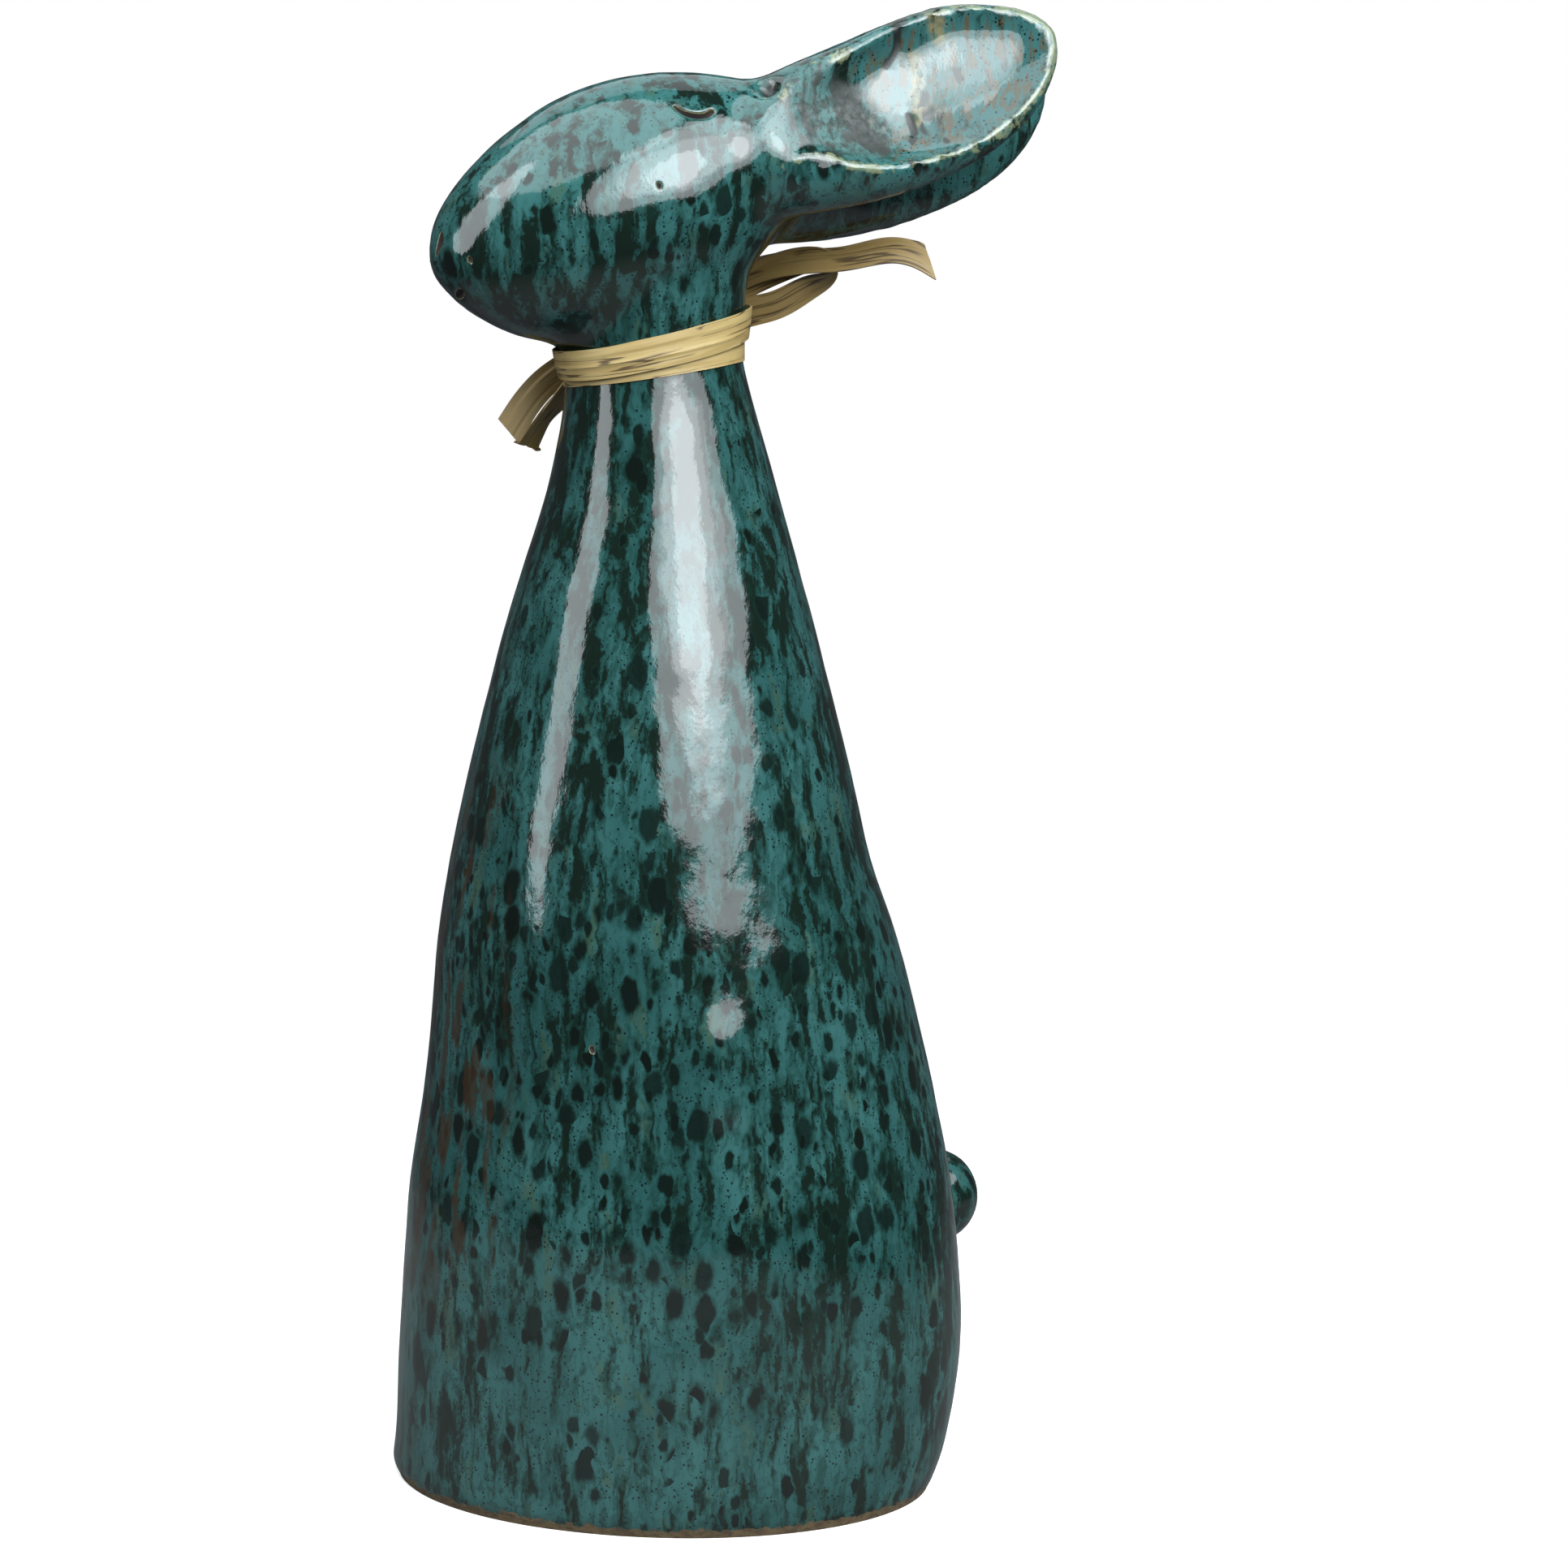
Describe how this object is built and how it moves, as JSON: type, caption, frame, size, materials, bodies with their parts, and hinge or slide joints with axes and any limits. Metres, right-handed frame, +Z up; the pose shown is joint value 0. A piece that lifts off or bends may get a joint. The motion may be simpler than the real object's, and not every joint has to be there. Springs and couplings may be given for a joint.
{
  "type": "hare sculpture",
  "caption": "Glazed ceramic hare figurine with a bell-shaped body, drooping egg-shaped head, laid-back ears and a raffia bow round the neck",
  "frame": {"origin": "middle of the foot on the surface that the hare stands on", "axes": "+Z up, the hare faces -Y, its left side is +X"},
  "size_m": [0.1068, 0.1355, 0.3006],
  "materials": {
    "teal_glaze": "glossy teal glaze with dark green runs and fine black speckle",
    "raffia_straw": "matt khaki straw with lengthwise fibres"
  },
  "bodies": {
    "root": {"hare": "teal_glaze", "raffia_tie": "raffia_straw"}
  },
  "joints": []
}
